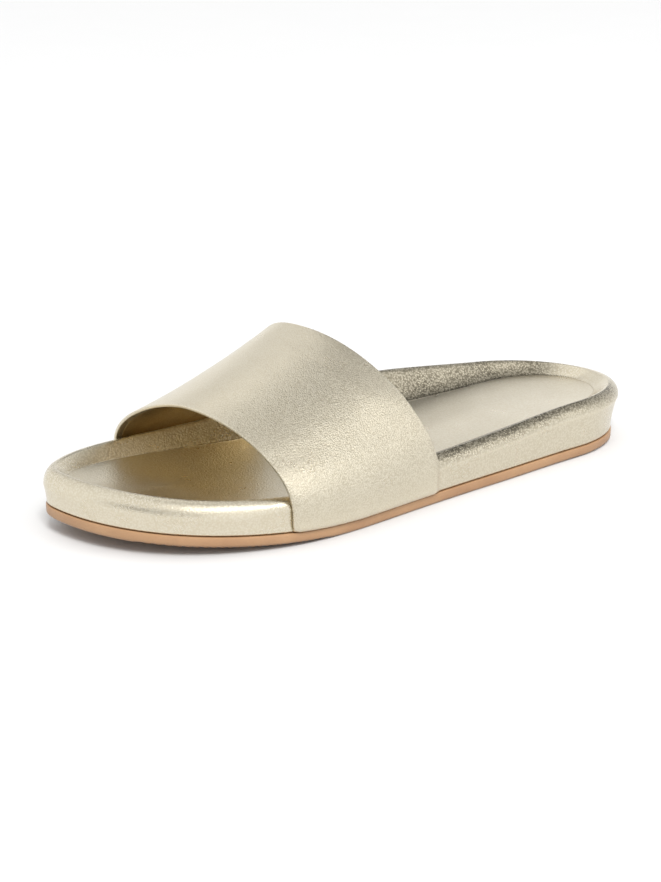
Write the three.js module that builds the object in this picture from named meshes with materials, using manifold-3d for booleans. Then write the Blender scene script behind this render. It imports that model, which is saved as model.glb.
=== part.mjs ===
// A women's slide sandal for the left foot, in millimetres.
// A thin outsole carries a moulded footbed whose edge rises as a rounded rim, highest at the arch.
// A thin insole lies inside the rim. One broad strap crosses the instep, runs down outside the
// footbed and turns under it, into a rebate between footbed and outsole.
// X runs along the foot with the toe at -X, -Y is the outer (lateral) side and +Z is up.
import * as THREE from "three";
import { mergeVertices } from "three/addons/utils/BufferGeometryUtils.js";
import Module from "manifold-3d";

const wasm = await Module();
wasm.setup();

// Plan of the sole
const footLength = 250; // heel to toe, at the bottom of the footbed
const heelWidth = 62;
const waistWidth = 67.5;
const ballWidth = 90;
const heelRound = 37; // length over which the heel closes
const toeRound = 74; // length over which the toe closes
const lateralToeFullness = 2.1; // power of the curve that closes the toe: 2 is an ellipse
const medialToeFullness = 2.6;
const tipOffset = 17; // the toe's tip, from the middle line towards the big toe

// Outsole
const outsoleThickness = 4.2;
const outsoleLip = 0.3; // how far the outsole's edge stands out past the footbed's bottom
const outsoleBevel = 1.3;
const heelUndercut = 2.6; // how far the bevel reaches in behind the heel
const undercutEnd = 0.3; // share of the length where the bevel is down to its common size
const toeSpring = 6.2;
const springStart = 0.64; // share of the length where the sole leaves the ground
const springPower = 1.4;

// Footbed and insole. The toe's heights are taken above the outsole's underside.
const heelRimHeight = 22.5; // top of the rim above the ground
const archRimHeight = 32;
const toeRimHeight = 17.6;
const heelFloorHeight = 18.6; // top of the insole above the ground
const rimRadius = 4;
const rimSlope = 8; // how far the rim's inner face reaches in from the rim's top
const bottomEdge = 0.8; // rounding where the footbed's side turns under
const heelFlare = 3.2; // how far the side leans out from bottom to top, at the heel
const sideFlare = 1;
const insoleThickness = 1.2;
const insoleEdge = 0.5; // rounding of the insole's upper edge

// Strap
const strapThickness = 2;
const marginThickness = 1.2; // of the strap's ends, which are pared where they turn under
const instepHeight = 61.2; // inside of the strap at its back edge, above the ground
const strapMargin = 11; // length of the strap's ends under the footbed
const strapBend = 0.6; // inner radius where the strap turns under
const edgeBulge = 0.25; // how far the strap's turned edges bulge, as a share of its thickness

const seatGap = 0.3; // clearance between pieces that lie on each other

// The outline before its ends are rounded. at is the share of the length from the heel, width is the
// full width there, and lateral is the share of it that lies on the outer side of the middle line.
const outlineRows = [
  { at: 0.0, width: heelWidth, lateral: 0.5 },
  { at: 0.14, width: heelWidth * 1.01, lateral: 0.502 },
  { at: 0.3, width: waistWidth, lateral: 0.519 },
  { at: 0.45, width: waistWidth * 1.047, lateral: 0.546 },
  { at: 0.58, width: ballWidth * 0.864, lateral: 0.547 },
  { at: 0.7, width: ballWidth * 0.972, lateral: 0.5165 },
  { at: 0.85, width: ballWidth, lateral: 0.49 },
  { at: 1.0, width: ballWidth, lateral: 0.486 },
];

// The rim's top above the outsole's underside, on each side, and how far the side leans out.
const rimRows = [
  { at: 0.0, lateral: heelRimHeight, medial: heelRimHeight, flare: heelFlare },
  { at: 0.15, lateral: heelRimHeight * 0.995, medial: archRimHeight * 0.815, flare: heelFlare * 0.5 },
  { at: 0.3, lateral: heelRimHeight * 0.9, medial: archRimHeight * 0.94, flare: sideFlare },
  { at: 0.42, lateral: heelRimHeight * 0.837, medial: archRimHeight, flare: sideFlare },
  { at: 0.6, lateral: toeRimHeight * 1.02, medial: archRimHeight * 0.85, flare: sideFlare },
  { at: 0.75, lateral: toeRimHeight, medial: toeRimHeight * 1.24, flare: sideFlare },
  { at: 0.9, lateral: toeRimHeight * 0.97, medial: toeRimHeight * 1.12, flare: sideFlare },
  { at: 1.0, lateral: toeRimHeight, medial: toeRimHeight, flare: sideFlare },
];

// The insole's top above the outsole's underside, as shares of its height at the heel: along the
// middle, and where it meets the rim on each side. The slope columns are shares of the rim's slope.
const floorRows = [
  { at: 0.0, middle: 1, lateral: 1.03, medial: 1.03, lateralSlope: 0.75, medialSlope: 0.75 },
  { at: 0.15, middle: 0.99, lateral: 1.02, medial: 1.05, lateralSlope: 0.81, medialSlope: 0.9 },
  { at: 0.3, middle: 0.93, lateral: 0.9, medial: 1.06, lateralSlope: 1, medialSlope: 1.2 },
  { at: 0.45, middle: 0.85, lateral: 0.8, medial: 1.09, lateralSlope: 1.06, medialSlope: 1.22 },
  { at: 0.6, middle: 0.77, lateral: 0.76, medial: 0.97, lateralSlope: 1, medialSlope: 1.03 },
  { at: 0.75, middle: 0.71, lateral: 0.735, medial: 0.83, lateralSlope: 0.77, medialSlope: 0.77 },
  { at: 0.9, middle: 0.7, lateral: 0.75, medial: 0.79, lateralSlope: 0.62, medialSlope: 0.62 },
  { at: 1.0, middle: 0.7, lateral: 0.75, medial: 0.75, lateralSlope: 0.6, medialSlope: 0.6 },
];

// The strap from its front edge (at 0) to its back edge (at 1). The feet are shares of the length where
// it leaves the outsole, crown is the height of its inside and side is where the crown lies from the
// middle line towards the big toe. footLean and archLean are how far it tips forward for each
// millimetre of height, against the footbed and above it. The fullness columns are powers of the
// arch on each side: 2 is an ellipse and less is flatter.
const strapRows = [
  {
    at: 0.0,
    lateralFoot: 0.762,
    medialFoot: 0.812,
    crown: instepHeight * 0.695,
    side: ballWidth * 0.025,
    footLean: 0.1,
    archLean: 0.17,
    lateralFullness: 1.95,
    medialFullness: 1.64,
  },
  {
    at: 0.33,
    lateralFoot: 0.668,
    medialFoot: 0.725,
    crown: instepHeight * 0.805,
    side: ballWidth * 0.03,
    footLean: 0.1,
    archLean: 0.2,
    lateralFullness: 1.92,
    medialFullness: 1.8,
  },
  {
    at: 0.67,
    lateralFoot: 0.571,
    medialFoot: 0.637,
    crown: instepHeight * 0.905,
    side: ballWidth * 0.065,
    footLean: 0.1,
    archLean: 0.24,
    lateralFullness: 1.93,
    medialFullness: 2.2,
  },
  {
    at: 1.0,
    lateralFoot: 0.476,
    medialFoot: 0.55,
    crown: instepHeight,
    side: ballWidth * 0.15,
    footLean: 0.09,
    archLean: 0.28,
    lateralFullness: 1.99,
    medialFullness: 2.6,
  },
];

// Number of facets, and where the rings of facets lie
const heelSteps = 8;
const sideSteps = 18;
const toeSteps = 12;
const strapColumns = 12;
const archSteps = 13; // from the rim to the strap's crown
const soleRings = [0.35, 0.7, 1]; // shares of the way from a sole's edge to the middle line
const floorRings = [0.3, 0.65, 1]; // the same inside the rim
const wallRings = [0.5, 0.8]; // shares of the height of the footbed's side
const rimAngles = [0, 25, 50, 72, 95]; // degrees round the rim's top, from its widest line inwards
const slopeRings = [0.3, 0.55, 0.8, 1]; // shares of the rim's inner face, from top to bottom
const bendAngles = [0, 30, 60, 90]; // degrees round the strap's bend
const strapWallRings = [0.35, 0.7, 1]; // shares of the height of the strap's part against the side

const lerp = (a, b, share) => a + (b - a) * share;
const limit = (share) => Math.min(1, Math.max(0, share));
const radians = (degrees) => (degrees * Math.PI) / 180;

// A smooth curve through one column of a table: a natural cubic spline over the column "at".
function columnCurve(rows, column) {
  const last = rows.length - 1;
  const x = rows.map((row) => row.at);
  const y = rows.map((row) => row[column]);
  const bend = new Array(rows.length).fill(0);
  const factor = new Array(rows.length).fill(0);
  for (let i = 1; i < last; i++) {
    const before = x[i] - x[i - 1];
    const after = x[i + 1] - x[i];
    const slopeChange = (y[i + 1] - y[i]) / after - (y[i] - y[i - 1]) / before;
    const pivot = 2 * (before + after) - before * factor[i - 1];
    factor[i] = after / pivot;
    bend[i] = (6 * slopeChange - before * bend[i - 1]) / pivot;
  }
  for (let i = last - 1; i > 0; i--) bend[i] -= factor[i] * bend[i + 1];
  return (at) => {
    let i = 0;
    while (i < last - 1 && at > x[i + 1]) i++;
    const width = x[i + 1] - x[i];
    const right = (at - x[i]) / width;
    const left = 1 - right;
    const curved = (left ** 3 - left) * bend[i] + (right ** 3 - right) * bend[i + 1];
    return left * y[i] + right * y[i + 1] + (curved * width ** 2) / 6;
  };
}

// One curve for each column of a table.
function tableCurves(rows) {
  const curves = {};
  for (const column of Object.keys(rows[0])) curves[column] = columnCurve(rows, column);
  return curves;
}

const outline = tableCurves(outlineRows);
const rim = tableCurves(rimRows);
const floor = tableCurves(floorRows);
const strap = tableCurves(strapRows);
const toeFullness = { lateral: lateralToeFullness, medial: medialToeFullness };
const sideSign = { lateral: -1, medial: 1 };

const alongX = (at) => footLength * (0.5 - at);

// Height of the outsole's underside: flat up to the ball, then rising to the toe.
function springAt(at) {
  const run = Math.max(0, (at - springStart) / (1 - springStart));
  return toeSpring * run ** springPower;
}

// The share of the full half width that is left where the heel or the toe closes.
function endRound(at, side) {
  const fromHeel = at * footLength;
  const fromToe = (1 - at) * footLength;
  if (fromHeel < heelRound) return Math.sqrt(Math.max(0, 1 - (1 - fromHeel / heelRound) ** 2));
  if (fromToe >= toeRound) return 1;
  const power = toeFullness[side];
  return Math.max(0, 1 - (1 - fromToe / toeRound) ** power) ** (1 / power);
}

// The middle line swings towards the big toe over the front half.
const middleLine = (at) => tipOffset * Math.max(0, 2 * at - 1) ** 2;

function outlineY(at, side) {
  const share = side === "lateral" ? outline.lateral(at) : 1 - outline.lateral(at);
  const full = sideSign[side] * share * outline.width(at);
  const middle = middleLine(at);
  return middle + (full - middle) * endRound(at, side);
}

// Shares of the length for one side, from heel to toe, closer together where the ends round off.
function stationShares() {
  const shares = [];
  const heelEnd = heelRound / footLength;
  const toeStart = 1 - toeRound / footLength;
  const quarter = Math.PI / 2;
  for (let i = 0; i < heelSteps; i++) shares.push(heelEnd * (1 - Math.cos((quarter * i) / heelSteps)));
  for (let i = 0; i < sideSteps; i++) shares.push(lerp(heelEnd, toeStart, i / sideSteps));
  for (let i = 0; i <= toeSteps; i++) {
    shares.push(lerp(toeStart, 1, Math.sin((quarter * i) / toeSteps)));
  }
  return shares;
}

// The closed outline, from the back of the heel along the lateral side to the toe and back along the
// medial side. Each station has its plan point, the outward direction and its share of the length.
// Both sides share one line of points along the middle, which closes a piece's top and bottom.
function outlineStations() {
  const shares = stationShares();
  const tip = shares.length - 1;
  const ring = shares.map((at) => ({ at, side: "lateral" }));
  for (let i = tip - 1; i > 0; i--) ring.push({ at: shares[i], side: "medial" });
  for (const station of ring) {
    station.plan = new THREE.Vector2(alongX(station.at), outlineY(station.at, station.side));
  }
  const heelCentre = heelRound / footLength;
  const toeCentre = 1 - toeRound / 2 / footLength;
  ring.forEach((station, i) => {
    const before = ring[(i + ring.length - 1) % ring.length].plan;
    const after = ring[(i + 1) % ring.length].plan;
    const run = after.clone().sub(before).normalize();
    station.out = new THREE.Vector2(-run.y, run.x);
    station.spineAt = lerp(heelCentre, toeCentre, station.at);
    const y = (outlineY(station.spineAt, "lateral") + outlineY(station.spineAt, "medial")) / 2;
    station.spine = new THREE.Vector2(alongX(station.spineAt), y);
  });
  if (ring[heelSteps].out.y > 0) for (const station of ring) station.out.negate();
  return ring;
}

const stations = outlineStations();

function manifoldOf(points, triangles) {
  const triVerts = new Uint32Array(triangles);
  return new wasm.Manifold(new wasm.Mesh({ numProp: 3, vertProperties: points, triVerts }));
}

// A solid from points and triangles, with points in one place merged and flat faces dropped.
function solidFrom(positions, faces) {
  const geometry = new THREE.BufferGeometry();
  geometry.setAttribute("position", new THREE.Float32BufferAttribute(positions, 3));
  geometry.setIndex(faces);
  const merged = mergeVertices(geometry, 1e-3);
  const index = merged.index.array;
  const kept = [];
  for (let i = 0; i < index.length; i += 3) {
    const [a, b, c] = [index[i], index[i + 1], index[i + 2]];
    if (a !== b && b !== c && c !== a) kept.push(a, b, c);
  }
  const points = merged.attributes.position.array;
  const solid = manifoldOf(points, kept);
  return solid.volume() > 0 ? solid : manifoldOf(points, kept.reverse());
}

// A closed solid from rings that run round the whole outline. The first and the last ring lie on the
// middle line, where the two sides meet.
function ringSolid(rings) {
  const count = stations.length;
  const faces = [];
  for (let r = 0; r + 1 < rings.length; r++) {
    for (let i = 0; i < count; i++) {
      const a = r * count + i;
      const b = r * count + ((i + 1) % count);
      faces.push(a, a + count, b, b, a + count, b + count);
    }
  }
  const positions = rings.flat().flatMap((point) => [point.x, point.y, point.z]);
  return solidFrom(positions, faces);
}

// A ring at a distance outside the outline, at a height worked out for each station.
function edgeRing(offset, height) {
  return stations.map((station) => {
    const plan = station.plan.clone().addScaledVector(station.out, offset(station));
    return new THREE.Vector3(plan.x, plan.y, height(station));
  });
}

// A ring between another ring and the middle line. share 0 is that ring and 1 is the middle line.
function inwardRing(edge, share, height) {
  return stations.map((station, i) => {
    const x = lerp(edge[i].x, station.spine.x, share);
    const y = lerp(edge[i].y, station.spine.y, share);
    return new THREE.Vector3(x, y, height(station, x));
  });
}

// A ring whose height follows the outsole's underside at each point's own place along the foot.
function levelRing(edge, share, above) {
  return inwardRing(edge, share, (station, x) => springAt(0.5 - x / footLength) + above);
}

function outsoleSolid() {
  const undercut = (s) => lerp(heelUndercut, outsoleBevel, limit(s.at / undercutEnd));
  const foot = edgeRing((s) => outsoleLip - undercut(s), (s) => springAt(s.at));
  const side = edgeRing(() => outsoleLip * 0.7, (s) => springAt(s.at) + outsoleBevel);
  const top = edgeRing(() => outsoleLip, (s) => springAt(s.at) + outsoleThickness);
  const underside = soleRings.map((share) => levelRing(foot, share, 0));
  const upper = soleRings.map((share) => levelRing(top, share, outsoleThickness));
  return ringSolid([...underside.reverse(), foot, side, top, ...upper]);
}

const footbedBottom = outsoleThickness + seatGap;
const wallStart = footbedBottom + bottomEdge;
const widestHeight = (at, side) => rim[side](at) - rimRadius;

// How far the footbed's side stands out from the outline at a height above the outsole's underside.
function wallOffset(at, side, height) {
  const share = limit((height - wallStart) / (widestHeight(at, side) - wallStart));
  return rim.flare(at) * share ** 1.5;
}

const rimTop = (s) => springAt(s.at) + rim[s.side](s.at);
const creaseTop = (s) => springAt(s.at) + heelFloorHeight * floor[s.side](s.at);
const slopeWidth = (s) => rimSlope * floor[s.side + "Slope"](s.at);
const creaseInset = (s) => rim.flare(s.at) - rimRadius - slopeWidth(s);

// The top of the insole between its edge (share 0) and the middle line (share 1).
function floorTop(s, share) {
  const middle = springAt(s.spineAt) + heelFloorHeight * floor.middle(s.spineAt);
  return lerp(creaseTop(s), middle, 1 - (1 - share) ** 2);
}

// Share of the rim's fall at a share of its inner face: a soft S.
const slopeFall = (share) => share ** 1.6 * (1.6 - 0.6 * share);

function footbedSolid() {
  const foot = edgeRing(() => -bottomEdge, (s) => springAt(s.at) + footbedBottom);
  const rings = soleRings.map((share) => levelRing(foot, share, footbedBottom)).reverse();
  rings.push(foot, edgeRing(() => 0, (s) => springAt(s.at) + wallStart));
  for (const share of wallRings) {
    const height = (s) => lerp(wallStart, widestHeight(s.at, s.side), share);
    rings.push(edgeRing((s) => wallOffset(s.at, s.side, height(s)), (s) => springAt(s.at) + height(s)));
  }
  for (const angle of rimAngles) {
    const inward = rimRadius * (1 - Math.cos(radians(angle)));
    const down = rimRadius * (1 - Math.sin(radians(angle)));
    rings.push(edgeRing((s) => rim.flare(s.at) - inward, (s) => rimTop(s) - down));
  }
  for (const share of slopeRings) {
    const offset = (s) => rim.flare(s.at) - rimRadius - slopeWidth(s) * share;
    rings.push(edgeRing(offset, (s) => lerp(rimTop(s), creaseTop(s), slopeFall(share))));
  }
  const seat = insoleThickness + seatGap;
  const crease = edgeRing(creaseInset, (s) => creaseTop(s) - seat);
  rings.push(crease);
  for (const share of floorRings) rings.push(inwardRing(crease, share, (s) => floorTop(s, share) - seat));
  return ringSolid(rings);
}

function insoleSolid() {
  const inset = (s) => creaseInset(s) - seatGap;
  const lower = edgeRing(inset, (s) => creaseTop(s) - insoleThickness);
  const upper = edgeRing(inset, (s) => creaseTop(s) - insoleEdge);
  const edge = edgeRing((s) => inset(s) - insoleEdge, creaseTop);
  const underside = floorRings.map((share) => {
    return inwardRing(lower, share, (s) => floorTop(s, share) - insoleThickness);
  });
  const top = floorRings.map((share) => inwardRing(edge, share, (s) => floorTop(s, share)));
  return ringSolid([...underside.reverse(), lower, upper, edge, ...top]);
}

// The outline's point and outward direction at any share of the length.
function outlineFrame(at, side) {
  const step = 0.004;
  const plan = new THREE.Vector2(alongX(at), outlineY(at, side));
  const before = new THREE.Vector2(alongX(at - step), outlineY(at - step, side));
  const after = new THREE.Vector2(alongX(at + step), outlineY(at + step, side));
  const run = after.sub(before).normalize();
  const out = new THREE.Vector2(-run.y, run.x);
  if (out.y * sideSign[side] < 0) out.negate();
  return { plan, out };
}

// A point of the strap's inside where it lies against the footbed's side, at a height above the
// outsole's underside.
function strapWallPoint(across, side, height) {
  const lean = strap.footLean(across) * (height - outsoleThickness);
  const at = strap[side + "Foot"](across) + lean / footLength;
  const { plan, out } = outlineFrame(at, side);
  plan.addScaledVector(out, wallOffset(at, side, height) + seatGap);
  return new THREE.Vector3(plan.x, plan.y, springAt(at) + height);
}

// One side of the strap's inside, from the end of its margin up to the rim's widest height.
function strapFootPoints(across, side) {
  const at = strap[side + "Foot"](across);
  const { plan, out } = outlineFrame(at, side);
  const marginTop = outsoleThickness + seatGap + marginThickness;
  const place = (offset, height) => {
    const spot = plan.clone().addScaledVector(out, offset);
    return new THREE.Vector3(spot.x, spot.y, springAt(at) + height);
  };
  const points = [place(-strapMargin, marginTop), place(-strapMargin / 2, marginTop)];
  for (const angle of bendAngles) {
    const inward = strapBend * (1 - Math.sin(radians(angle)));
    const up = strapBend * (1 - Math.cos(radians(angle)));
    points.push(place(seatGap - inward, marginTop + up));
  }
  const top = widestHeight(at, side);
  for (const share of strapWallRings) {
    points.push(strapWallPoint(across, side, lerp(marginTop + strapBend, top, share)));
  }
  return points;
}

// The strap's inside for one place between its front and back edge, from the end of its lateral
// margin over the crown to the end of its medial margin.
function strapLine(across) {
  const lateral = strapFootPoints(across, "lateral");
  const medial = strapFootPoints(across, "medial");
  const start = lateral[lateral.length - 1];
  const end = medial[medial.length - 1];
  const place = (from, turn, fullness) => {
    const y = lerp(strap.side(across), from.y, Math.max(0, Math.cos(turn)) ** (2 / fullness));
    const z = lerp(from.z, strap.crown(across), Math.sin(turn) ** (2 / fullness));
    const share = (y - start.y) / (end.y - start.y);
    const rise = Math.max(0, z - lerp(start.z, end.z, share));
    return new THREE.Vector3(lerp(start.x, end.x, share) - strap.archLean(across) * rise, y, z);
  };
  const arch = [];
  const step = Math.PI / 2 / archSteps;
  for (let i = 1; i <= archSteps; i++) arch.push(place(start, i * step, strap.lateralFullness(across)));
  for (let i = archSteps - 1; i > 0; i--) arch.push(place(end, i * step, strap.medialFullness(across)));
  return [...lateral, ...arch, ...medial.reverse()];
}

// The strap as a wall: its inside, and the same grid moved outwards by the strap's thickness. A third
// layer halfway through bulges at the front and back edges, as a turned edge does.
function strapSolid() {
  const inside = [];
  for (let c = 0; c <= strapColumns; c++) inside.push(strapLine(c / strapColumns));
  const lastRow = inside[0].length - 1;
  const lastColumn = strapColumns;
  const thickness = (r) => {
    const pastMargin = Math.min(r, lastRow - r) - 2;
    return lerp(marginThickness, strapThickness, limit(pastMargin / (bendAngles.length - 1)));
  };
  const outward = (c, r) => {
    const line = inside[c];
    const along = line[Math.min(lastRow, r + 1)].clone().sub(line[Math.max(0, r - 1)]);
    const across = inside[Math.min(lastColumn, c + 1)][r].clone().sub(inside[Math.max(0, c - 1)][r]);
    return across.cross(along).normalize();
  };
  const positions = [];
  const index = new Map();
  const place = (c, r, layer) => {
    const key = `${c},${r},${layer}`;
    if (index.has(key)) return index.get(key);
    const point = inside[c][r].clone().addScaledVector(outward(c, r), (layer / 2) * thickness(r));
    if (layer === 1) {
      const neighbour = inside[c === 0 ? 1 : c - 1][r];
      const outOfEdge = inside[c][r].clone().sub(neighbour).normalize();
      point.addScaledVector(outOfEdge, strapThickness * edgeBulge);
    }
    positions.push(point.x, point.y, point.z);
    index.set(key, positions.length / 3 - 1);
    return index.get(key);
  };
  const faces = [];
  const quad = (...corners) => {
    const [a, b, c, d] = corners.map((corner) => place(...corner));
    faces.push(a, b, c, a, c, d);
  };
  for (let c = 0; c < lastColumn; c++) {
    const n = c + 1;
    for (let r = 0; r < lastRow; r++) {
      quad([c, r, 2], [n, r, 2], [n, r + 1, 2], [c, r + 1, 2]);
      quad([c, r, 0], [c, r + 1, 0], [n, r + 1, 0], [n, r, 0]);
    }
    quad([c, 0, 0], [n, 0, 0], [n, 0, 2], [c, 0, 2]);
    quad([c, lastRow, 2], [n, lastRow, 2], [n, lastRow, 0], [c, lastRow, 0]);
  }
  for (let r = 0; r < lastRow; r++) {
    for (const layer of [0, 1]) {
      quad([0, r, layer], [0, r, layer + 1], [0, r + 1, layer + 1], [0, r + 1, layer]);
      const c = lastColumn;
      quad([c, r, layer + 1], [c, r, layer], [c, r + 1, layer], [c, r + 1, layer + 1]);
    }
  }
  for (const c of [0, lastColumn]) {
    for (const r of [0, lastRow]) {
      const corner = [place(c, r, 0), place(c, r, 2), place(c, r, 1)];
      faces.push(...((c === 0) === (r === 0) ? corner : corner.reverse()));
    }
  }
  return solidFrom(positions, faces);
}

// The space that a strap's turned-under end takes from the footbed's lower edge.
function rebateSolid(side) {
  const steps = strapColumns + 2;
  const endGap = (3 * seatGap) / footLength;
  const from = strap[side + "Foot"](0) + endGap;
  const to = strap[side + "Foot"](1) - endGap;
  const ceiling = outsoleThickness + marginThickness + 2 * seatGap;
  const inner = -strapMargin - seatGap;
  const outer = 2 * strapThickness;
  const corners = [[inner, 0], [inner, ceiling], [outer, ceiling], [outer, 0]];
  const count = corners.length;
  const positions = [];
  const faces = [];
  for (let i = 0; i <= steps; i++) {
    const at = lerp(from, to, i / steps);
    const { plan, out } = outlineFrame(at, side);
    for (const [offset, height] of corners) {
      const spot = plan.clone().addScaledVector(out, offset);
      positions.push(spot.x, spot.y, springAt(at) + height);
    }
  }
  for (let i = 0; i < steps; i++) {
    for (let k = 0; k < count; k++) {
      const a = i * count + k;
      const b = i * count + ((k + 1) % count);
      faces.push(a, b, a + count, b, b + count, a + count);
    }
  }
  const last = steps * count;
  faces.push(0, 2, 1, 0, 3, 2, last, last + 1, last + 2, last, last + 2, last + 3);
  return solidFrom(positions, faces);
}

const gold = { color: 0xd3c8a8, roughness: 0.32, metalness: 0.85 };
const paleGold = { color: 0xd8cfb4, roughness: 0.36, metalness: 0.8 };
const tan = { color: 0xc08d63, roughness: 0.6, metalness: 0 };

function meshOf(name, solid, finish) {
  const { vertProperties, triVerts } = solid.getMesh();
  const geometry = new THREE.BufferGeometry();
  geometry.setAttribute("position", new THREE.BufferAttribute(vertProperties, 3));
  geometry.setIndex(new THREE.BufferAttribute(triVerts, 1));
  const mesh = new THREE.Mesh(geometry, new THREE.MeshStandardMaterial(finish));
  mesh.name = name;
  return mesh;
}

const footbed = footbedSolid().subtract(rebateSolid("lateral")).subtract(rebateSolid("medial"));

const sandal = new THREE.Group();
sandal.add(meshOf("outsole", outsoleSolid(), tan));
sandal.add(meshOf("footbed", footbed, gold));
sandal.add(meshOf("insole", insoleSolid(), paleGold));
sandal.add(meshOf("strap", strapSolid(), gold));

// The origin is under the middle of the whole sandal, on the ground.
const bounds = new THREE.Box3().setFromObject(sandal);
const middle = bounds.getCenter(new THREE.Vector3());
sandal.position.set(-middle.x, -middle.y, -bounds.min.z);

export default sandal;
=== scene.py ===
"""Looks for a left slide sandal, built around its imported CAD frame.

The sole and the strap are worked out in millimetres, with the heel at +X, the toe at -X, the outer
(lateral) side at -Y and the ground at Z 0. Meshes are made in metres, in the frame's own place. Places
along the sole are shares of its length, from the heel (0) to the toe (1).
"""

import math

import bmesh
import bpy
import numpy as np
from mathutils import Matrix, Vector


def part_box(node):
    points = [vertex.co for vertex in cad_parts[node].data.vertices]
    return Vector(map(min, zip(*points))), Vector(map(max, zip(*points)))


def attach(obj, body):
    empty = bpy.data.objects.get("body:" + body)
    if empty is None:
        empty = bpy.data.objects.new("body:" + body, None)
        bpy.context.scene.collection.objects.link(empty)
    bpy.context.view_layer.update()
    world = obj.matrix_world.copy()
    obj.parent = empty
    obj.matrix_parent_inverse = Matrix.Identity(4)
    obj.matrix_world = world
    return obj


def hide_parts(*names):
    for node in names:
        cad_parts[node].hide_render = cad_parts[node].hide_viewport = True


MM = 0.001

# Plan of the sole
FOOT_LENGTH = 250
HEEL_WIDTH = 62
WAIST_WIDTH = 67.5
BALL_WIDTH = 90
HEEL_ROUND = 37
TOE_ROUND = 74
LATERAL_TOE_FULLNESS = 2.1
MEDIAL_TOE_FULLNESS = 2.6
TIP_OFFSET = 17

# Outsole
OUTSOLE_THICKNESS = 4.2
OUTSOLE_LIP = 0.3
OUTSOLE_BEVEL = 1.3
BEVEL_LIP = 0.7  # the share of the lip that the bevel reaches
TOP_EDGE = [(0, 0.3), (0.05, 0.12), (0.15, 0.03), (0.3, 0)]  # inward from the lip and down from the top
HEEL_UNDERCUT = 2.6
UNDERCUT_END = 0.3
TOE_SPRING = 6.2
SPRING_START = 0.64
SPRING_POWER = 1.4
TREAD_DEPTH = 0.35
TREAD_PITCH = 2.6
TREAD_WIDTH = 1.6
TREAD_INSET = 0.5
TREAD_START = 0.7
TREAD_END = 0.955
TREAD_SOFTNESS = 0.008
RIB_END_GAP = 0.1

# A rib's section, across as shares of its width and up in millimetres
RIB_SECTION = [(-0.5, 0.7), (-0.5, 0.2), (-0.36, 0), (0.36, 0), (0.5, 0.2), (0.5, 0.7)]

# Footbed and insole
HEEL_RIM = 22.5
ARCH_RIM = 32
TOE_RIM = 17.6
HEEL_FLOOR = 18.6
RIM_RADIUS = 4
TOE_ROUNDING = 0.6  # how much deeper the rim's rounding is round the toe
TOE_ROUNDING_SPAN = (0.77, 0.86)  # where it comes in
RIM_TILT = 0.27  # how much the outer side's rim leans outwards, as a slope
TILT_START = 0.07
TILT_END = 0.5
TILT_SOFTNESS = 0.07
RIM_SLOPE = 8
RIM_TURN = 0.22  # the share of that slope over which the rim turns down
ARCH_SCOOP = 1.7  # how hollow the inner side's rim is, where 1 is an even slope
ARCH_END = (0.5, 0.6)  # where the arch's own shapes fade out
BOTTOM_EDGE = 0.8
HEEL_FLARE = 3.2
SIDE_FLARE = 1
FLARE_POWER = 1.5
REBATE_MARGIN = 0.004
INSOLE_THICKNESS = 1.2
INSOLE_EDGE = 0.12
INSOLE_SEAM = 0.04
SEAM_START = 0.12  # between these places the insole's edge hardly shows
SEAM_END = 0.52
SEAM_SOFTNESS = 0.06
SEAM_HIDDEN = 0.8
ARCH_BLEND = 0.01  # how softly the rim runs into the insole, as a share of the rim's height over it
TOE_BLEND = 0.03

# Grain of the leather, from 0 for calm to 1 for full. On the footbed and the strap, full grain also brings
# painted shade: darker colour on and between the pebbles. The pairs say between which places it changes.
HEEL_GRAIN_AND_SHADE_SPAN = (0.5, 0.7)
FOREFOOT_GRAIN_AND_SHADE = 0.3
MEDIAL_HEEL_SPAN = (0, 0.05)
LATERAL_HEEL_SPAN = (0.08, 0.16)
RIM_HEEL_SPAN = (0, 0.06)
OUTER_WALL_GRAIN_AND_SHADE = 0.1
INNER_TOP_GRAIN_AND_SHADE = 0.8
INSOLE_GRAIN_SPAN = (0.58, 0.68)
STRAP_FOOT_SPAN = (0.06, 0.2)  # shares of the way between the strap's feet
STRAP_CROWN_SPAN = (0.36, 0.5)

# Strap
STRAP_THICKNESS = 2
MARGIN_THICKNESS = 1.2
INSTEP_HEIGHT = 61.2
STRAP_MARGIN = 11
STRAP_BEND = 0.6
STRAP_REACH = 70  # from front edge to back edge
EDGE_BULGE = 0.5
EDGE_ROUND = 0.45
PARED = 0.7  # what the leather loses at its edges
PARED_WIDTH = 2.8
TURNED_BAND = 2.8  # width of leather that the turned edge shows on the inside
TURNED_STEP = 0.2  # over which the leather steps down to the lining
LINING_DEPTH = 0.5
LINING_GAP = 0.05
LINING_START = TURNED_BAND + 0.35
LINING_ROUND = 0.2
SEAT_GAP = 0.3

OUTLINE = {
    "at": [0, 0.14, 0.3, 0.45, 0.58, 0.7, 0.85, 1],
    "width": [
        HEEL_WIDTH,
        HEEL_WIDTH * 1.01,
        WAIST_WIDTH,
        WAIST_WIDTH * 1.047,
        BALL_WIDTH * 0.864,
        BALL_WIDTH * 0.972,
        BALL_WIDTH,
        BALL_WIDTH,
    ],
    "lateral": [0.5, 0.502, 0.519, 0.546, 0.547, 0.5165, 0.49, 0.486],
}

RIM = {
    "at": [0, 0.15, 0.3, 0.42, 0.6, 0.75, 0.9, 1],
    "lateral": [
        HEEL_RIM,
        HEEL_RIM * 0.995,
        HEEL_RIM * 0.9,
        HEEL_RIM * 0.837,
        TOE_RIM * 1.02,
        TOE_RIM,
        TOE_RIM * 0.97,
        TOE_RIM,
    ],
    "medial": [
        HEEL_RIM,
        ARCH_RIM * 0.815,
        ARCH_RIM * 0.94,
        ARCH_RIM,
        ARCH_RIM * 0.85,
        TOE_RIM * 1.24,
        TOE_RIM * 1.12,
        TOE_RIM,
    ],
    "flare": [HEEL_FLARE, HEEL_FLARE * 0.5] + [SIDE_FLARE] * 6,
}

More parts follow.
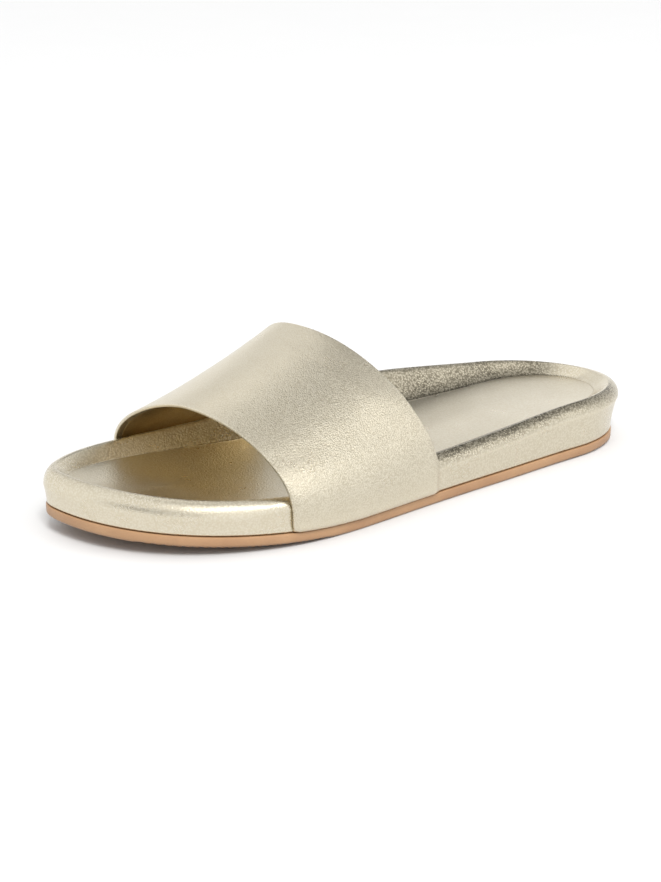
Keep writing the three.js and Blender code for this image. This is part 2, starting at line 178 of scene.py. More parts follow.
# Shares of HEEL_FLOOR and of RIM_SLOPE
FLOOR = {
    "at": [0, 0.15, 0.3, 0.45, 0.6, 0.75, 0.9, 1],
    "middle": [1, 0.99, 0.93, 0.85, 0.77, 0.71, 0.7, 0.7],
    "lateral": [1.03, 1.02, 0.9, 0.8, 0.76, 0.735, 0.75, 0.75],
    "medial": [1.03, 1.05, 1.06, 1.09, 0.97, 0.83, 0.79, 0.75],
    "lateral_slope": [0.75, 0.81, 1, 1.06, 1, 0.77, 0.62, 0.6],
    "medial_slope": [0.75, 0.9, 1.2, 1.22, 1.03, 0.77, 0.62, 0.6],
}

# The strap from its front edge (at 0) to its back edge (at 1)
STRAP = {
    "at": [0, 0.33, 0.67, 1],
    "lateral_foot": [0.762, 0.668, 0.571, 0.476],
    "medial_foot": [0.812, 0.725, 0.637, 0.55],
    "crown": [INSTEP_HEIGHT * share for share in (0.695, 0.805, 0.905, 1)],
    "side": [BALL_WIDTH * share for share in (0.025, 0.03, 0.065, 0.15)],
    "foot_lean": [0.1, 0.1, 0.1, 0.09],
    "arch_lean": [0.17, 0.2, 0.24, 0.28],
    "lateral_fullness": [1.95, 1.92, 1.93, 1.99],
    "medial_fullness": [1.64, 1.8, 2.2, 2.6],
}

HEEL_STEPS = 24
SIDE_STEPS = 60
TOE_STEPS = 40
SMOOTHING_ROUNDS = 20
DOUBLES = 0.002
TINY_EDGE = 0.001
LATERAL = -1
MEDIAL = 1


def lerp(a, b, share):
    return a + (b - a) * share


def smooth_step(start, end, value):
    share = np.clip((value - start) / (end - start), 0, 1)
    return share * share * (3 - 2 * share)


def window(start, end, value, soft):
    """1 between start and end and 0 outside, with soft shoulders."""
    return smooth_step(start - soft, start, value) * (1 - smooth_step(end, end + soft, value))


def column_curve(at, column):
    """A natural cubic spline through one column of a table."""
    x = np.array(at, float)
    y = np.array(column, float)
    gap = np.diff(x)
    system = np.eye(len(x))
    change = np.zeros(len(x))
    for i in range(1, len(x) - 1):
        system[i, i - 1 : i + 2] = gap[i - 1], 2 * (gap[i - 1] + gap[i]), gap[i]
        change[i] = 6 * ((y[i + 1] - y[i]) / gap[i] - (y[i] - y[i - 1]) / gap[i - 1])
    bend = np.linalg.solve(system, change)

    def curve(place):
        i = np.clip(np.searchsorted(x, place) - 1, 0, len(x) - 2)
        right = (place - x[i]) / gap[i]
        left = 1 - right
        curved = (left**3 - left) * bend[i] + (right**3 - right) * bend[i + 1]
        return left * y[i] + right * y[i + 1] + curved * gap[i] ** 2 / 6

    return curve


def table_curves(table):
    return {name: column_curve(table["at"], column) for name, column in table.items() if name != "at"}


outline = table_curves(OUTLINE)
rim = table_curves(RIM)
floor_shape = table_curves(FLOOR)
strap_shape = table_curves(STRAP)


def by_side(table, place, side):
    """A table's lateral or medial column, as side says."""
    return np.where(side < 0, table["lateral"](place), table["medial"](place))


def along_x(place):
    return FOOT_LENGTH * (0.5 - place)


def spring_at(place):
    run = np.clip((place - SPRING_START) / (1 - SPRING_START), 0, None)
    return TOE_SPRING * run**SPRING_POWER


def end_round(place, side):
    to_heel = np.clip(place * FOOT_LENGTH / HEEL_ROUND, 0, 1)
    to_toe = np.clip((1 - place) * FOOT_LENGTH / TOE_ROUND, 0, 1)
    power = np.where(side < 0, LATERAL_TOE_FULLNESS, MEDIAL_TOE_FULLNESS)
    heel = np.sqrt(np.clip(1 - (1 - to_heel) ** 2, 0, None))
    return heel * np.clip(1 - (1 - to_toe) ** power, 0, None) ** (1 / power)


def outline_y(place, side):
    share = np.where(side < 0, outline["lateral"](place), 1 - outline["lateral"](place))
    middle = TIP_OFFSET * np.clip(2 * place - 1, 0, None) ** 2
    full = side * share * outline["width"](place)
    return middle + (full - middle) * end_round(place, side)


class Stations:
    """The closed outline, from the heel by the lateral side to the toe and back by the medial side."""

    def __init__(self):
        heel_end = HEEL_ROUND / FOOT_LENGTH
        toe_start = 1 - TOE_ROUND / FOOT_LENGTH
        quarter = math.pi / 2
        heel = heel_end * (1 - np.cos(quarter * np.arange(HEEL_STEPS) / HEEL_STEPS))
        middle = lerp(heel_end, toe_start, np.arange(SIDE_STEPS) / SIDE_STEPS)
        toe = lerp(toe_start, 1, np.sin(quarter * np.arange(TOE_STEPS + 1) / TOE_STEPS))
        one_side = np.concatenate([heel, middle, toe])
        self.at = np.concatenate([one_side, one_side[-2:0:-1]])
        self.side = np.where(np.arange(len(self.at)) < len(one_side), LATERAL, MEDIAL)
        self.plan = np.column_stack([along_x(self.at), outline_y(self.at, self.side)])
        run = np.roll(self.plan, -1, axis=0) - np.roll(self.plan, 1, axis=0)
        run /= np.linalg.norm(run, axis=1)[:, None]
        self.out = np.column_stack([-run[:, 1], run[:, 0]])
        steps = np.linalg.norm(np.roll(self.plan, -1, axis=0) - self.plan, axis=1)
        self.along = np.concatenate([[0], np.cumsum(steps)[:-1]])
        self.spine_at = lerp(HEEL_ROUND / FOOT_LENGTH, 1 - TOE_ROUND / 2 / FOOT_LENGTH, self.at)
        spine_y = (outline_y(self.spine_at, LATERAL) + outline_y(self.spine_at, MEDIAL)) / 2
        self.spine = np.column_stack([along_x(self.spine_at), spine_y])
        self.spring = spring_at(self.at)


stations = Stations()


def edge_ring(offset, height):
    """A ring at a distance outside the outline."""
    plan = stations.plan + stations.out * np.reshape(offset, (-1, 1))
    return np.column_stack([plan, np.broadcast_to(height, len(plan))])


def inward_plan(edge, share):
    """The plan of a ring between another ring (share 0) and the middle line (share 1)."""
    return lerp(edge[:, :2], stations.spine, share)


def level_ring(edge, share, above):
    plan = inward_plan(edge, share)
    return np.column_stack([plan, spring_at(0.5 - plan[:, 0] / FOOT_LENGTH) + above])


def row_frame_origin():
    """Where the sole's own origin lies in the row frame, found from the outsole's box."""
    low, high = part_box("outsole")
    edge = edge_ring(OUTSOLE_LIP, 0)
    middle = (edge[:, :2].min(axis=0) + edge[:, :2].max(axis=0)) / 2 * MM
    return Vector(((low.x + high.x) / 2 - middle[0], (low.y + high.y) / 2 - middle[1], 0))


def mesh_piece(name, points, faces, sharp_angle, grain=None):
    """A mesh object from points in millimetres, with doubled points merged and normals turned outwards."""
    mesh = bpy.data.meshes.new(name)
    mesh.from_pydata((np.asarray(points) * MM).tolist(), [], faces)
    # The grain attribute sets the leather's pebbles and, where the material's full-grain colours are
    # darker, its painted shade.
    if grain is not None:
        attribute = mesh.attributes.new("grain", "FLOAT", "POINT")
        attribute.data.foreach_set("value", np.ravel(grain).astype(np.float32))
    mesh.transform(Matrix.Translation(ORIGIN))
    bm = bmesh_of(mesh)
    bm.to_mesh(mesh)
    bm.free()
    mesh.polygons.foreach_set("use_smooth", [True] * len(mesh.polygons))
    mesh.set_sharp_from_angle(angle=math.radians(sharp_angle))
    piece = bpy.data.objects.new(name, mesh)
    bpy.context.scene.collection.objects.link(piece)
    return piece


def bmesh_of(mesh):
    bm = bmesh.new()
    bm.from_mesh(mesh)
    bmesh.ops.remove_doubles(bm, verts=bm.verts, dist=DOUBLES * MM)
    bmesh.ops.dissolve_degenerate(bm, edges=bm.edges, dist=TINY_EDGE * MM)
    bmesh.ops.recalc_face_normals(bm, faces=bm.faces)
    return bm


def grid_faces(rows, columns, first=0, closed=True):
    """Quads between rows of points, where each row closes on itself if closed is set."""
    faces = []
    for r in range(rows - 1):
        for c in range(columns if closed else columns - 1):
            a = first + r * columns + c
            b = first + r * columns + (c + 1) % columns
            faces.append((a, b, b + columns, a + columns))
    return faces


def ring_piece(name, rings, sharp_angle, grain=None):
    points = np.concatenate(rings)
    return mesh_piece(name, points, grid_faces(len(rings), len(stations.at)), sharp_angle, grain)


def outsole_piece():
    undercut = lerp(HEEL_UNDERCUT, OUTSOLE_BEVEL, np.clip(stations.at / UNDERCUT_END, 0, 1))
    tread = TREAD_DEPTH * window(TREAD_START, TREAD_END, stations.at, TREAD_SOFTNESS)
    foot = edge_ring(OUTSOLE_LIP - undercut, stations.spring + tread)
    rings = [level_ring(foot, share, tread) for share in (1, 0.75, 0.5, 0.25, 0.1)]
    rings.append(foot)
    for share in (0.2, 0.4, 0.6, 0.8, 1):
        round_share = lerp(share, math.sin(share * math.pi / 2), 0.5)
        rise_share = lerp(share, 1 - math.cos(share * math.pi / 2), 0.5)
        offset = lerp(OUTSOLE_LIP - undercut, OUTSOLE_LIP * BEVEL_LIP, round_share)
        rings.append(edge_ring(offset, stations.spring + lerp(tread, OUTSOLE_BEVEL, rise_share)))
    for inward, down in TOP_EDGE:
        rings.append(edge_ring(OUTSOLE_LIP - inward, stations.spring + OUTSOLE_THICKNESS - down))
    top = rings[-1]
    rings += [level_ring(top, share, OUTSOLE_THICKNESS) for share in (0.1, 0.3, 0.6, 1)]
    return ring_piece("outsole_rubber", rings, 40)


def tread_piece():
    """Fine ribs across the underside of the forefoot. Their ends show along the sole's lower edge."""
    foot = edge_ring(OUTSOLE_LIP - OUTSOLE_BEVEL - TREAD_INSET, 0)
    tip = len(foot) // 2
    half = {LATERAL: foot[: tip + 1][::-1], MEDIAL: foot[tip:]}
    points = []
    faces = []
    count = int((TREAD_END - TREAD_START) * FOOT_LENGTH / TREAD_PITCH)
    for i in range(count):
        x = along_x(TREAD_START) - TREAD_PITCH * (i + 0.5)
        first = len(points)
        for side in (LATERAL, MEDIAL):
            for across, up in RIB_SECTION:
                rib_x = x + across * TREAD_WIDTH
                line = half[side]
                y = np.interp(rib_x, line[:, 0], line[:, 1])
                height = spring_at(0.5 - rib_x / FOOT_LENGTH) + up
                points.append((rib_x, y - side * RIB_END_GAP, height))
        corners = len(RIB_SECTION)
        for k in range(corners):
            a, b = first + k, first + (k + 1) % corners
            faces.append((a, b, b + corners, a + corners))
        faces.append(tuple(range(first, first + corners)))
        faces.append(tuple(range(first + corners, first + 2 * corners)))
    return mesh_piece("outsole_tread", points, faces, 30)


FOOTBED_BOTTOM = OUTSOLE_THICKNESS + SEAT_GAP
WALL_START = FOOTBED_BOTTOM + BOTTOM_EDGE


def wall_offset(place, side, height, drop=RIM_RADIUS):
    widest = by_side(rim, place, side) - drop
    share = np.clip((height - WALL_START) / (widest - WALL_START), 0, 1)
    return rim["flare"](place) * share**FLARE_POWER


rim_top = stations.spring + by_side(rim, stations.at, stations.side)
crease_top = stations.spring + HEEL_FLOOR * by_side(floor_shape, stations.at, stations.side)
crease_width = RIM_SLOPE * np.where(
    stations.side < 0, floor_shape["lateral_slope"](stations.at), floor_shape["medial_slope"](stations.at)
)
crease_inset = rim["flare"](stations.at) - RIM_RADIUS - crease_width
floor_middle = spring_at(stations.spine_at) + HEEL_FLOOR * floor_shape["middle"](stations.spine_at)
crease_ring = edge_ring(crease_inset, crease_top)
floor_width = np.linalg.norm(crease_ring[:, :2] - stations.spine, axis=1)


def soft_highest(a, b, softness):
    """The higher of two heights, with the corner between them rounded."""
    high = np.maximum(a, b)
    return high + softness * np.log(np.exp((a - high) / softness) + np.exp((b - high) / softness))


def inner_height(inward):
    """Height of the footbed's inside at a distance inward from the crease, negative on the rim's side."""
    drop = rim_top - crease_top
    share = np.clip(1 + inward / crease_width, 0, None)
    even = share - RIM_TURN / 2
    down = np.where(share < RIM_TURN, share**2 / RIM_TURN / 2, even) / (1 - RIM_TURN / 2)
    past_arch = smooth_step(*ARCH_END, stations.at)
    hollow = 1 + (ARCH_SCOOP - 1) * (1 - past_arch) * (stations.side > 0)
    down = np.where(down < 1, 1 - np.clip(1 - down, 0, None) ** hollow, down)
    wall = rim_top - drop * down
    run = inward / floor_width
    bowl = 1 - (1 - np.clip(run, 0, 1)) ** 2 + 2 * np.clip(run, None, 0)
    floor = lerp(crease_top, floor_middle, bowl)
    return soft_highest(wall, floor, lerp(ARCH_BLEND, TOE_BLEND, past_arch) * drop)


def strap_window():
    """1 where the strap's ends lie between footbed and outsole."""
    result = np.zeros(len(stations.at))
    for side, name in ((LATERAL, "lateral_foot"), (MEDIAL, "medial_foot")):
        front = strap_shape[name](0.0)
        back = strap_shape[name](1.0)
        inside = window(back + REBATE_MARGIN, front - REBATE_MARGIN, stations.at, REBATE_MARGIN)
        result = np.where(stations.side == side, inside, result)
    return result


def footbed_piece():
    rebate = strap_window() * (MARGIN_THICKNESS + SEAT_GAP)
    foot = edge_ring(-BOTTOM_EDGE, stations.spring + FOOTBED_BOTTOM + rebate)
    rings = [level_ring(foot, share, FOOTBED_BOTTOM) for share in (1, 0.7, 0.42, 0.4)]
    rings += [level_ring(foot, share, FOOTBED_BOTTOM + rebate) for share in (0.36, 0.15)]
    rings.append(foot)
    for angle in np.radians([25, 50, 75, 90]):
        height = stations.spring + FOOTBED_BOTTOM + rebate + BOTTOM_EDGE * (1 - math.cos(angle))
        rings.append(edge_ring(-BOTTOM_EDGE * (1 - math.sin(angle)), height))
    drop = RIM_RADIUS * (1 + TOE_ROUNDING * smooth_step(*TOE_ROUNDING_SPAN, stations.at))
    tilted = window(TILT_START, TILT_END, stations.at, TILT_SOFTNESS) * (stations.side < 0)
    tilt = RIM_TILT * RIM_RADIUS * tilted
    widest = by_side(rim, stations.at, stations.side) - drop - tilt
    for share in np.linspace(0.1, 0.92, 10):
        height = lerp(WALL_START + rebate, widest, share)
        offset = wall_offset(stations.at, stations.side, height, drop)
        rings.append(edge_ring(offset, stations.spring + height))
    # Grain and painted shade: the footbed's colour darkens where the grain is full, most on the rim's
    # crest and the inner walls of the heel half.
    to_heel = 1 - smooth_step(*HEEL_GRAIN_AND_SHADE_SPAN, stations.at)
    grain_and_shade = lerp(FOREFOOT_GRAIN_AND_SHADE, 1, to_heel)
    medial = smooth_step(*MEDIAL_HEEL_SPAN, stations.at)
    inside = grain_and_shade * np.where(stations.side < 0, smooth_step(*LATERAL_HEEL_SPAN, stations.at), medial)
    on_rim = grain_and_shade * np.where(stations.side < 0, smooth_step(*RIM_HEEL_SPAN, stations.at), medial)
    grain = [OUTER_WALL_GRAIN_AND_SHADE * to_heel] * len(rings)
    for angle in np.radians(np.linspace(0, 90, 13)):
        inward = RIM_RADIUS * (1 - math.cos(angle))
        down = drop * (1 - math.sin(angle)) + tilt * math.cos(angle)
        rings.append(edge_ring(rim["flare"](stations.at) - inward, rim_top - down))
        turned = math.sin(angle)
        grain.append(on_rim * lerp(turned**3, turned, to_heel))
    for share in np.linspace(0.06, 1, 18):
        offset = rim["flare"](stations.at) - RIM_RADIUS - crease_width * share
        rings.append(edge_ring(offset, inner_height((share - 1) * crease_width)))
        grain.append(inside * lerp(INNER_TOP_GRAIN_AND_SHADE, 1, share))
    seat = INSOLE_THICKNESS + SEAT_GAP
    rings.append(edge_ring(crease_inset, crease_top - seat))
    for share in (0.3, 0.65, 1):
        plan = inward_plan(crease_ring, share)
        rings.append(np.column_stack([plan, inner_height(share * floor_width) - seat]))
    grain += [inside] * (len(rings) - len(grain))
    return ring_piece("footbed_leather", rings, 50, grain)


def insole_piece():
    def ring(inward, above):
        plan = inward_plan(crease_ring, np.reshape(inward / floor_width, (-1, 1)))
        return np.column_stack([plan, inner_height(inward) + above])

    rings = [ring(share * floor_width, -INSOLE_THICKNESS) for share in (1, 0.65, 0.3)]
    shown = 1 - SEAM_HIDDEN * window(SEAM_START, SEAM_END, stations.at, SEAM_SOFTNESS)
    edge = INSOLE_EDGE * shown
    seam = INSOLE_SEAM * shown
    rings.append(ring(seam, -INSOLE_THICKNESS))
    rings.append(ring(seam, -edge))
    for angle in np.radians([30, 60, 90]):
        rings.append(ring(seam + edge * (1 - math.cos(angle)), -edge * (1 - math.sin(angle))))
    rings.append(ring(seam + edge + 0.03, 0))
    for share in (0.025, 0.05, 0.08, 0.12, 0.17, 0.23, 0.3, 0.4, 0.5, 0.62, 0.75, 0.88, 1):
        rings.append(ring(share * floor_width, 0))
    grain = [smooth_step(*INSOLE_GRAIN_SPAN, stations.at)] * len(rings)
    return ring_piece("insole_leather", rings, 50, grain)


def outline_frame(place, side):
    """The outline's plan point and outward direction at a place."""
    step = 0.004
    before, plan, after = (
        np.array([along_x(at), outline_y(at, side)]) for at in (place - step, place, place + step)
    )
    run = (after - before) / np.linalg.norm(after - before)
    out = np.array([-run[1], run[0]])
    if out[1] * side < 0:
        out = -out
    return plan, out


def strap_foot(across, side):
    """One side of the strap's inside, from the end of its margin up to the rim's widest height."""
    name = "lateral" if side == LATERAL else "medial"
    place = strap_shape[name + "_foot"](across)
    plan, out = outline_frame(place, side)
    margin_top = OUTSOLE_THICKNESS + SEAT_GAP + MARGIN_THICKNESS
    line = []
    for offset in (-STRAP_MARGIN, -STRAP_MARGIN / 2):
        line.append((*(plan + out * offset), spring_at(place) + margin_top))
    for angle in np.radians(np.linspace(0, 90, 7)):
        offset = SEAT_GAP - STRAP_BEND * (1 - math.sin(angle))
        height = margin_top + STRAP_BEND * (1 - math.cos(angle))
        line.append((*(plan + out * offset), spring_at(place) + height))
    widest = by_side(rim, place, side) - RIM_RADIUS
    for share in np.linspace(0, 1, 11)[1:]:
        height = lerp(margin_top + STRAP_BEND, widest, share)
        leaning = place + strap_shape["foot_lean"](across) * (height - OUTSOLE_THICKNESS) / FOOT_LENGTH
        spot, away = outline_frame(leaning, side)
        offset = wall_offset(leaning, side, height) + SEAT_GAP
        line.append((*(spot + away * offset), spring_at(leaning) + height))
    return np.array(line)


ARCH_STEPS = 40


def strap_line(across):
    """The strap's inside at one place between its edges, from the lateral margin to the medial one."""
    lateral = strap_foot(across, LATERAL)
    medial = strap_foot(across, MEDIAL)
    start, end = lateral[-1], medial[-1]
    crown = strap_shape["crown"](across)
    side = strap_shape["side"](across)

    def arch(foot, fullness):
        turn = np.linspace(0, math.pi / 2, ARCH_STEPS + 1)[1:]
        y = lerp(side, foot[1], np.clip(np.cos(turn), 0, None) ** (2 / fullness))
        z = lerp(foot[2], crown, np.sin(turn) ** (2 / fullness))
        share = (y - start[1]) / (end[1] - start[1])
        rise = np.clip(z - lerp(start[2], end[2], share), 0, None)
        x = lerp(start[0], end[0], share) - strap_shape["arch_lean"](across) * rise
        return np.column_stack([x, y, z])

    lateral_arch = arch(start, strap_shape["lateral_fullness"](across))
    medial_arch = arch(end, strap_shape["medial_fullness"](across))
    return np.concatenate([lateral, lateral_arch, medial_arch[-2::-1], medial[::-1]])


FOOT_ROWS = 19
BEND_ROWS = 9  # rows of a foot that lie in the margin and the bend


def evened(line):
    """A strap line with its arch's points evenly spaced and its corners softened."""
    first, last = BEND_ROWS + 3, len(line) - BEND_ROWS - 4
    middle = line[first : last + 1]
    run = np.concatenate([[0], np.cumsum(np.linalg.norm(np.diff(middle, axis=0), axis=1))])
    even = np.linspace(0, run[-1], len(middle))
    middle = np.column_stack([np.interp(even, run, middle[:, k]) for k in range(3)])
    for pull in (0.3, -0.31) * SMOOTHING_ROUNDS:
        middle[1:-1] += pull * (middle[2:] + middle[:-2] - 2 * middle[1:-1])
    return np.concatenate([line[:first], middle, line[last + 1 :]])


# Soft dents and swells of the strap: place between the edges, place between the feet, half widths
# both ways and height in millimetres, outwards
STRAP_FOLDS = [
    (0.2, 0.25, 0.5, 0.03, -0.35),
    (0.75, 0.24, 0.35, 0.028, -0.4),
    (0.85, 0.31, 0.14, 0.03, 0.3),
    (0.5, 0.36, 0.3, 0.05, 0.25),
    (0.62, 0.66, 0.3, 0.03, -0.3),
    (0.3, 0.7, 0.3, 0.03, -0.3),
    (1.03, 0.34, 0.07, 0.12, -0.7),
    (0.8, 0.33, 0.1, 0.06, 0.35),
]


class StrapSurface:
    """The strap's inside as a grid of points and outward directions, at distances from its front edge."""

    def __init__(self, distances):
        lines = [evened(strap_line(distance / STRAP_REACH)) for distance in distances]
        self.points = np.array(lines)
        along = np.gradient(self.points, axis=1)
        across = np.gradient(self.points, np.asarray(distances), axis=0)
        normals = np.cross(across, along)
        self.normals = normals / np.linalg.norm(normals, axis=2)[..., None]
        rows = self.points.shape[1]
        from_end = np.minimum(np.arange(rows), rows - 1 - np.arange(rows))
        share = np.clip((from_end - 2) / (BEND_ROWS - 3), 0, 1)
        self.thickness = lerp(MARGIN_THICKNESS / STRAP_THICKNESS, 1, share)
        self.foot = 1 - smooth_step(FOOT_ROWS - 3, FOOT_ROWS + 6, from_end)
        place = np.linspace(0, 1, rows)[None, :]
        between = np.asarray(distances)[:, None] / STRAP_REACH
        swell = np.zeros((len(distances), rows))
        for front, foot, half_front, half_foot, height in STRAP_FOLDS:
            far = ((between - front) / half_front) ** 2 + ((place - foot) / half_foot) ** 2
            swell += height * np.exp(-far)
        self.swell = swell * np.sin(np.pi * place) ** 0.5

    def layer(self, arch_depth, foot_depth):
        """Points over the inside, at depths given for each distance from the front edge."""
        depth = lerp(np.asarray(arch_depth)[:, None], np.asarray(foot_depth)[:, None], self.foot[None, :])
        height = depth * self.thickness[None, :] + self.swell
        return self.points + self.normals * height[..., None]


def slab_piece(name, distances, arch, foot):
    """A closed sheet along the strap. arch and foot each give its inner and its outer face's depths."""
    surface = StrapSurface(distances)
    outer = surface.layer(arch[1], foot[1])
    inner = surface.layer(arch[0], foot[0])
    loop = np.concatenate([outer, inner[-2:0:-1]])
    count, rows = loop.shape[:2]
    points = loop.transpose(1, 0, 2).reshape(-1, 3)
    place = np.linspace(0, 1, rows)
    # Grain between the feet and the crown. On the strap leather it also brings painted shade: darker
    # pebble gaps on the strap's sides.
    grain_and_shade = smooth_step(*STRAP_FOOT_SPAN, place) * (1 - smooth_step(*STRAP_CROWN_SPAN, place))
    faces = grid_faces(rows, count)
    faces.append(tuple(range(count)))
    faces.append(tuple(range((rows - 1) * count, rows * count)))
    return mesh_piece(name, points, faces, 50, np.repeat(grain_and_shade, count))


def rounded(into, radius):
    """How far a rounded corner falls in at a distance from the edge."""
    into = np.clip(into, 0, radius)
    return radius * (1 - np.sqrt(np.clip(1 - (1 - into / radius) ** 2, 0, 1)))


def strap_leather_piece():
    near_edge = np.array([0, 0.03, 0.1, 0.22, 0.36, 0.48, 0.9, 1.4, 2.0, 2.6, 2.8, 2.95, 3.2, 3.8, 5])
    reach = STRAP_REACH + 2 * EDGE_BULGE
    into = np.concatenate([near_edge, np.linspace(7, reach - 7, 44), reach - near_edge[::-1]])
    from_edge = np.minimum(into, reach - into)
    fall = rounded(from_edge, EDGE_ROUND)
    pared = PARED * (1 - smooth_step(0, PARED_WIDTH, from_edge))
    step = LINING_DEPTH * smooth_step(TURNED_BAND, TURNED_BAND + TURNED_STEP, from_edge)
    arch = (fall + pared + step, STRAP_THICKNESS - fall)
    foot = (fall + step, STRAP_THICKNESS - fall - pared)
    return slab_piece("strap_leather", into - EDGE_BULGE, arch, foot)


def strap_lining_piece():
    near_edge = np.array([0, 0.03, 0.1, 0.2, 0.5, 1.5])
    reach = STRAP_REACH + 2 * EDGE_BULGE - 2 * LINING_START
    into = np.concatenate([near_edge, np.linspace(3, reach - 3, 40), reach - near_edge[::-1]])
    fall = rounded(np.minimum(into, reach - into), LINING_ROUND)
    depths = (LINING_GAP + fall, LINING_DEPTH - LINING_GAP - fall)
    return slab_piece("strap_lining", into + LINING_START - EDGE_BULGE, depths, depths)


# Materials


class Nodes:
    """A material's node tree, with short calls that add nodes and join them."""

    def __init__(self, name):
        self.material = bpy.data.materials.new(name)
        self.material.use_nodes = True
        self.tree = self.material.node_tree
        self.shader = self.tree.nodes["Principled BSDF"]
        self.place = self.tree.nodes.new("ShaderNodeTexCoord").outputs["Object"]

    def add(self, kind, **inputs):
        node = self.tree.nodes.new(kind)
        for name, value in inputs.items():
            self.set(node.inputs[name.replace("_", " ")], value)
        return node

    def set(self, socket, value):
        if isinstance(value, bpy.types.NodeSocket):
            self.tree.links.new(value, socket)
        else:
            socket.default_value = value

    def noise(self, size, detail, roughness=0.5):
        """Noise with grains of a size in metres."""
        node = self.add("ShaderNodeTexNoise", Vector=self.place, Scale=1 / size, Detail=detail)
        self.set(node.inputs["Roughness"], roughness)
        return node.outputs["Fac"]

    def pebbles(self, size):
        """The distance to the gaps between pebbles of a size in metres."""
        node = self.add("ShaderNodeTexVoronoi", Vector=self.place, Scale=1 / size)
        node.feature = "SMOOTH_F1"
        self.set(node.inputs["Smoothness"], 0.6)
        return node.outputs["Distance"]

    def ramp(self, value, low, high, from_low=0.0, from_high=1.0):
        node = self.add("ShaderNodeMapRange")
        for socket, given in zip(node.inputs, (value, from_low, from_high, low, high)):
            self.set(socket, given)
        return node.outputs["Result"]

    def mix(self, share, a, b):
        node = self.add("ShaderNodeMix")
        node.data_type = "RGBA"
        colours = [socket for socket in node.inputs if socket.type == "RGBA"]
        self.set(node.inputs["Factor"], share)
        self.set(colours[0], a)
        self.set(colours[1], b)
        return [socket for socket in node.outputs if socket.type == "RGBA"][0]

    def bump(self, height, distance, under=None):
        node = self.add("ShaderNodeBump", Height=height, Distance=distance, Strength=1.0)
        if under is not None:
            self.set(node.inputs["Normal"], under)
        return node.outputs["Normal"]

    def finish(self, **inputs):
        for name, value in inputs.items():
            self.set(self.shader.inputs[name.replace("_", " ")], value)
        return self.material


CALM = 0.35  # the pebbles' height on calm leather, as a share of that on full grain
CELL_SIZE = 1.25  # in pebbles
LEATHER_PATCH = 0.012
LEATHER_SWELL = 0.009


def gold_leather(name, colours, roughness, pebble, pebble_height, soft_height):
    """Foiled leather: metallic, with fine pebbles under a thin clear finish, and faintly uneven.

    The colours are those of calm leather, light and dark, and of full grain, on the pebbles and between
    them. Where the full-grain colours are darker, they are painted shade on the grained bands. Sizes and
    heights are in metres.
    """
    light, dark, ridge, gap = colours
    nodes = Nodes(name)
    # The grain attribute sets the pebbles' relief and also mixes in the full-grain colours, which are
    # painted shade where they are darker.
    attribute = nodes.tree.nodes.new("ShaderNodeAttribute")
    attribute.attribute_name = "grain"
    grain_and_shade = attribute.outputs["Fac"]
    relief = nodes.ramp(grain_and_shade, pebble_height * CALM, pebble_height)
    depth = nodes.ramp(grain_and_shade, -pebble_height * CALM, -pebble_height)
    patches = nodes.noise(LEATHER_PATCH, 3.0)
    grain = nodes.noise(pebble, 3.0, 0.6)
    cells = nodes.pebbles(pebble * CELL_SIZE)
    swells = nodes.noise(LEATHER_SWELL, 1.0)
    # Painted shade where the full-grain colours are darker: the gaps at the pebbles' edges, and on the
    # footbed the pebbles too.
    between = nodes.mix(grain_and_shade, dark, gap)
    on_top = nodes.mix(grain_and_shade, light, ridge)
    tone = nodes.mix(nodes.ramp(cells, 0, 1, 0.12, 0.65), on_top, between)
    normal = nodes.bump(swells, soft_height)
    normal = nodes.bump(cells, depth, under=normal)
    normal = nodes.bump(grain, relief, under=normal)
    return nodes.finish(
        Base_Color=nodes.mix(nodes.ramp(patches, 0, 0.2, 0.3, 0.8), tone, on_top),
        Metallic=1.0,
        Roughness=nodes.ramp(patches, roughness * 0.9, roughness * 1.12, 0.3, 0.7),
        Normal=normal,
        Coat_Weight=0.12,
        Coat_Roughness=0.3,
    )


RUBBER_PATCH = 0.015
RUBBER_SPECK = 0.0006
SPECK_HEIGHT = 0.00004


def tan_rubber(name, light, dark, roughness):
    nodes = Nodes(name)
    patches = nodes.noise(RUBBER_PATCH, 3.0)
    specks = nodes.noise(RUBBER_SPECK, 2.0)
    tone = nodes.mix(nodes.ramp(patches, 0, 1, 0.35, 0.7), light, dark)
    return nodes.finish(
        Base_Color=nodes.mix(nodes.ramp(specks, 0, 0.35, 0.45, 0.75), tone, dark),
        Roughness=nodes.ramp(specks, roughness * 0.9, roughness * 1.1, 0.3, 0.7),
        Normal=nodes.bump(specks, SPECK_HEIGHT),
        Coat_Weight=0.05,
        Coat_Roughness=0.4,
    )


# Stage, camera and lights. Directions are seen from the camera: azimuth 0 is behind the sandal and 90 is
# the right of the picture.

CAMERA_AZIMUTH = 39.61
CAMERA_ELEVATION = 17.43
CAMERA_DISTANCE = 1.02578
CAMERA_ROLL = 0.25
CAMERA_TARGET = Vector((0, 0, 0.015))
FOCAL_PIXELS = 2687.5
PICTURE_HEIGHT = 882
SENSOR = 36
PRINCIPAL_RIGHT = 26.23  # pixels from the picture's middle
PRINCIPAL_DOWN = 3.43


def direction(azimuth, elevation):
    """A unit vector towards an azimuth and elevation as the camera sees them."""
    turn = math.radians(CAMERA_AZIMUTH + azimuth)
    rise = math.radians(elevation)
    return Vector((math.sin(turn) * math.cos(rise), math.cos(turn) * math.cos(rise), math.sin(rise)))


